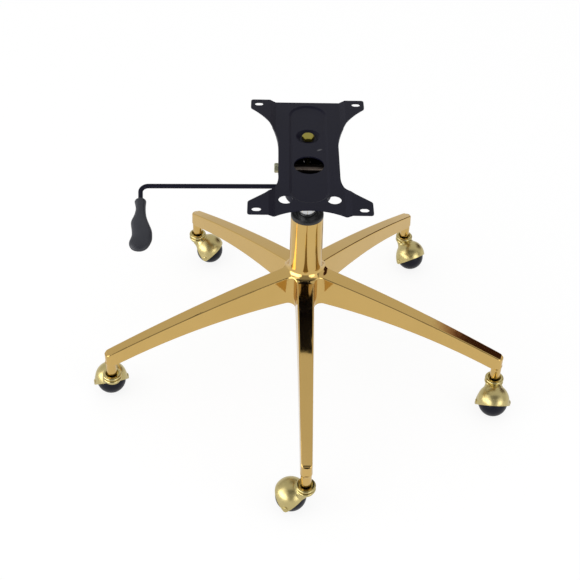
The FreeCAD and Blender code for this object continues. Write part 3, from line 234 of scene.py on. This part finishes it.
def zinc_plating(name, first, second):
    # Passivated zinc, bright steel or dark oxide on steel: a soft metal with cloudy colour and fine grain.
    material, tree, coord = bare_material(name)
    cloud = add(tree, "ShaderNodeTexNoise",
                {"Vector": coord, "Scale": per_mm(3.0), "Detail": 3.0, "Roughness": 0.6})
    fine = add(tree, "ShaderNodeTexNoise", {"Vector": coord, "Scale": per_mm(0.5)})
    rough = add(tree, "ShaderNodeMapRange", {"Value": fine, **NOISE_SPREAD, "To Min": 0.28, "To Max": 0.42})
    colour = add(tree, "ShaderNodeMix", {"Factor": cloud, 6: linear(first), 7: linear(second)},
                 data_type="RGBA")
    finish(tree, {"Base Color": colour, "Metallic": 1.0, "Roughness": rough}, fine, 0.01)
    return material


def natural_nylon():
    # Natural nylon, moulded: a milky plastic with a soft sheen.
    material, tree, coord = bare_material("natural_nylon")
    cloud = add(tree, "ShaderNodeTexNoise", {"Vector": coord, "Scale": per_mm(4.0)})
    fine = add(tree, "ShaderNodeTexNoise", {"Vector": coord, "Scale": per_mm(1.0)})
    colour = add(tree, "ShaderNodeMix", {"Factor": cloud, 6: linear("#D9D6CB"), 7: linear("#E3E1D8")},
                 data_type="RGBA")
    finish(tree, {"Base Color": colour, "IOR": 1.53, "Roughness": 0.4}, fine, 0.01)
    return material


def black_rubber():
    # Moulded rubber: nearly black, dull and slightly dusty.
    material, tree, coord = bare_material("moulded_rubber")
    dust = add(tree, "ShaderNodeTexNoise", {"Vector": coord, "Scale": per_mm(3.0)})
    fine = add(tree, "ShaderNodeTexNoise", {"Vector": coord, "Scale": per_mm(0.6)})
    colour = add(tree, "ShaderNodeMix", {"Factor": dust, 6: linear("#161617"), 7: linear("#222223")},
                 data_type="RGBA")
    finish(tree, {"Base Color": colour, "IOR": 1.52, "Roughness": 0.75}, fine, 0.02)
    return material


def tension_coil(coating):
    """Round wire on a helix, whose top sits on the spring seat.

    At turn a the outward ray is r = (cos a, sin a, 0), and the wire's middle lies on r at the coil's radius,
    at a height that grows with a. Round the wire, by angle b, a point lies at cos b along r and sin b along
    the helix's own normal, which is the forward direction crossed with r.
    """
    steps, sides = 48 * COIL_TURNS, 16
    rise = COIL_HEIGHT - 2 * COIL_WIRE_RADIUS
    top = COIL_TOP - Vector((0.0, 0.0, COIL_WIRE_RADIUS))
    foot = top - Vector((0.0, 0.0, rise))
    a = np.linspace(0.0, 2 * math.pi * COIL_TURNS, steps + 1)[:, None]
    b = np.linspace(0.0, 2 * math.pi, sides, endpoint=False)[None, :, None]
    flat = np.zeros_like(a)
    outward = np.hstack([np.cos(a), np.sin(a), flat])
    climb = np.full_like(a, rise / (2 * math.pi * COIL_TURNS))
    forward = np.hstack([-COIL_RADIUS * np.sin(a), COIL_RADIUS * np.cos(a), climb])
    normal = np.cross(forward / np.linalg.norm(forward, axis=1, keepdims=True), outward)
    middle = np.array(foot) + COIL_RADIUS * outward + np.hstack([flat, flat, climb * a])
    ray = np.cos(b) * outward[:, None] + np.sin(b) * normal[:, None]
    points = (middle[:, None] + COIL_WIRE_RADIUS * ray).reshape(-1, 3)
    index = np.arange((steps + 1) * sides).reshape(steps + 1, sides)
    beside = np.roll(index, -1, axis=1)
    skin = np.stack([index[:-1], beside[:-1], beside[1:], index[1:]], axis=-1).reshape(-1, 4)
    mesh = bpy.data.meshes.new("tension_coil")
    ends = [index[0, ::-1].tolist(), index[-1].tolist()]
    mesh.from_pydata(points.tolist(), [], skin.tolist() + ends)
    mesh.polygons.foreach_set("use_smooth", [True] * len(skin) + [False, False])
    mesh.materials.append(coating)
    coil = bpy.data.objects.new("tension_coil", mesh)
    bpy.context.scene.collection.objects.link(coil)
    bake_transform(coil)
    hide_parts("tension_spring")


def dress(material, *names):
    """Gives the material to the named CAD nodes, and a name that ends in _ stands for all five casters."""
    for name in names:
        nodes = ["%s%d" % (name, n) for n in CASTERS] if name.endswith("_") else [name]
        for node in nodes:
            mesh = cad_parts[node].data
            mesh.materials.clear()
            mesh.materials.append(material)


def dress_all():
    """Gives every CAD node its finish, and stands the coil in for the rigid spring."""
    coating = powder_coat()
    dress(gold_plating(), "star_base")
    dress(brass_plating(), "caster_hood_", "caster_axle_", "caster_stem_")
    dress(ball_nylon(), "caster_ball_")
    dress(zinc_plating("bright_steel", "#B5B5B4", "#A6A6A6"), "grip_ring_", "lower_race", "ball_cage",
          "upper_race", "piston_rod", "rod_clip", "valve_button")
    dress(zinc_plating("dark_oxide", "#8A7F76", "#75695F"), "pivot_sleeve", "spring_seat")
    dress(zinc_plating("yellow_zinc", "#A89C4A", "#8E8538"), "tension_bolt")
    dress(zinc_plating("pale_zinc", "#B9B99C", "#A5A68C"), "pivot_bolt", "pivot_nut")
    dress(moulded_black(), "guide_bush", "tension_knob")
    dress(grip_plastic(), "lever_handle")
    dress(chrome_plate(), "gas_cylinder")
    dress(coating, "cone_bush", "lower_housing", "seat_plate", "lever_rod")
    dress(natural_nylon(), "pivot_washers", "piston")
    dress(black_rubber(), "stop_pad", "rubber_buffer")
    tension_coil(coating)


def studio_floor():
    """Pale paper that looks white to the eye and in mirrors, and still takes a soft shadow."""
    reach = 6.0
    mesh = bpy.data.meshes.new("studio_floor")
    mesh.from_pydata([(-reach, -reach, 0), (reach, -reach, 0), (reach, reach, 0), (-reach, reach, 0)],
                     [], [(0, 1, 2, 3)])
    floor = bpy.data.objects.new("studio_floor", mesh)
    bpy.context.scene.collection.objects.link(floor)
    material, tree, _ = bare_material("studio_paper")
    path = add(tree, "ShaderNodeLightPath", {})
    seen = add(tree, "ShaderNodeMath", {0: path.outputs["Is Camera Ray"], 1: 0.80}, operation="MULTIPLY")
    mirrored = add(tree, "ShaderNodeMath", {0: path.outputs["Is Glossy Ray"], 1: 0.55}, operation="MULTIPLY")
    share = add(tree, "ShaderNodeMath", {0: seen, 1: mirrored}, operation="MAXIMUM")
    paper = add(tree, "ShaderNodeBsdfDiffuse", {"Color": linear("#EFEFEF")})
    glow = add(tree, "ShaderNodeEmission", {"Color": linear("#FFFFFF"), "Strength": 1.07})
    mixed = add(tree, "ShaderNodeMixShader", {0: share, 1: paper, 2: glow})
    add(tree, "ShaderNodeOutputMaterial", {"Surface": mixed})
    mesh.materials.append(material)


def studio_world():
    """White for the eye, an even light for dull surfaces, and a room of patches for what is mirrored.

    A patch faces along a direction and goes from its outer to its inner strength between two cosines.
    """
    patches = {  # direction, outer cosine, inner cosine, outer strength, inner strength
        "tent": ((0.0, 1.0, 0.22), -0.10, 0.02, 0.13, 0.74),  # white cloth from the back to over the object
        "rim": ((0.0, 0.0, 1.0), 0.02, 0.16, 0.80, 0.0),  # pale up to just over the horizon
        "haze": ((0.0, 0.0, 1.0), 0.72, 0.93, 0.36, 0.0),  # dim front, darker towards the ceiling
        "door_top": ((0.72, 0.51, 0.475), 0.974, 0.985, 1.0, 0.06),  # dark doorway at the right of the tent
        "door_foot": ((0.654, 0.727, 0.208), 0.960, 0.975, 1.0, 0.06),
        "left_window": ((-0.70, -0.70, 0.17), 0.90, 0.965, 0.0, 3.0),
        "right_window": ((0.60, -0.79, 0.17), 0.93, 0.975, 0.0, 2.0),
        "side_window": ((-0.96, -0.27, 0.10), 0.88, 0.95, 0.0, 3.0),
    }
    world = bpy.data.worlds.new("studio_room")
    bpy.context.scene.world = world
    world.use_nodes = True
    tree = world.node_tree
    tree.nodes.clear()
    direction = add(tree, "ShaderNodeTexCoord", {}).outputs["Generated"]
    patch = {}
    for name, (aim, outer, inner, outer_strength, inner_strength) in patches.items():
        cosine = add(tree, "ShaderNodeVectorMath", {0: direction, 1: Vector(aim).normalized()},
                     operation="DOT_PRODUCT")
        patch[name] = add(tree, "ShaderNodeMapRange", {"Value": cosine, "From Min": outer, "From Max": inner,
                                                       "To Min": outer_strength, "To Max": inner_strength})
    walls = add(tree, "ShaderNodeMath", {0: patch["tent"], 1: patch["rim"]}, operation="MAXIMUM")
    walls = add(tree, "ShaderNodeMath", {0: walls, 1: patch["haze"]}, operation="MAXIMUM")
    doorway = add(tree, "ShaderNodeMath", {0: patch["door_top"], 1: patch["door_foot"]}, operation="MINIMUM")
    walls = add(tree, "ShaderNodeMath", {0: walls, 1: doorway}, operation="MULTIPLY")
    windows = add(tree, "ShaderNodeMath", {0: patch["left_window"], 1: patch["right_window"]},
                  operation="MAXIMUM")
    windows = add(tree, "ShaderNodeMath", {0: windows, 1: patch["side_window"]}, operation="MAXIMUM")
    strength = add(tree, "ShaderNodeMath", {0: walls, 1: windows}, operation="ADD")
    # The doorway is a warm brown, and the rest of the room is white.
    colour = add(tree, "ShaderNodeMix", {"Factor": doorway, 6: linear("#FFA08C"), 7: linear("#FFFFFF")},
                 data_type="RGBA")
    path = add(tree, "ShaderNodeLightPath", {})
    room = add(tree, "ShaderNodeBackground", {"Color": colour, "Strength": strength})
    soft = add(tree, "ShaderNodeBackground", {"Color": linear("#FFFFFF"), "Strength": 0.75})
    white = add(tree, "ShaderNodeBackground", {"Color": linear("#FFFFFF"), "Strength": 1.0})
    lit = add(tree, "ShaderNodeMixShader", {0: path.outputs["Is Glossy Ray"], 1: soft, 2: room})
    seen = add(tree, "ShaderNodeMixShader", {0: path.outputs["Is Camera Ray"], 1: lit, 2: white})
    add(tree, "ShaderNodeOutputWorld", {"Surface": seen})


def softbox(name, place, size, power):
    """Square area lamp at a place, turned to the middle of the object."""
    middle = Vector((0.0, 0.0, 0.2))
    lamp = bpy.data.lights.new(name, "AREA")
    lamp.shape = "SQUARE"
    lamp.size = size
    lamp.energy = power
    box = bpy.data.objects.new(name, lamp)
    bpy.context.scene.collection.objects.link(box)
    aim = middle - Vector(place)
    box.matrix_world = Matrix.Translation(place) @ aim.to_track_quat("-Z", "Y").to_matrix().to_4x4()


def photo_camera():
    """Camera of the photograph: its place, its target and its roll about the line of sight."""
    camera = bpy.data.cameras.new("photo_camera")
    camera.sensor_width = SENSOR_WIDTH
    camera.lens = FOCAL_LENGTH_IN_PIXELS / PHOTO_WIDTH * SENSOR_WIDTH
    camera.clip_start = 0.05
    eye = bpy.data.objects.new("photo_camera", camera)
    bpy.context.scene.collection.objects.link(eye)
    ahead = (CAMERA_TARGET - CAMERA_PLACE).normalized()
    right = ahead.cross(Vector((0, 0, 1))).normalized()
    up = right.cross(ahead)
    across = right * math.cos(CAMERA_ROLL) + up * math.sin(CAMERA_ROLL)
    above = up * math.cos(CAMERA_ROLL) - right * math.sin(CAMERA_ROLL)
    turn = Matrix((across, above, -ahead)).transposed()
    eye.matrix_world = Matrix.Translation(CAMERA_PLACE) @ turn.to_4x4()
    bpy.context.scene.camera = eye


dress_all()
studio_floor()
studio_world()
softbox("key_box", (-2.1, -1.0, 1.3), 2.2, 16.0)
softbox("fill_box", (2.0, -1.5, 1.1), 1.8, 8.0)
photo_camera()
bpy.context.scene.view_settings.view_transform = "Standard"
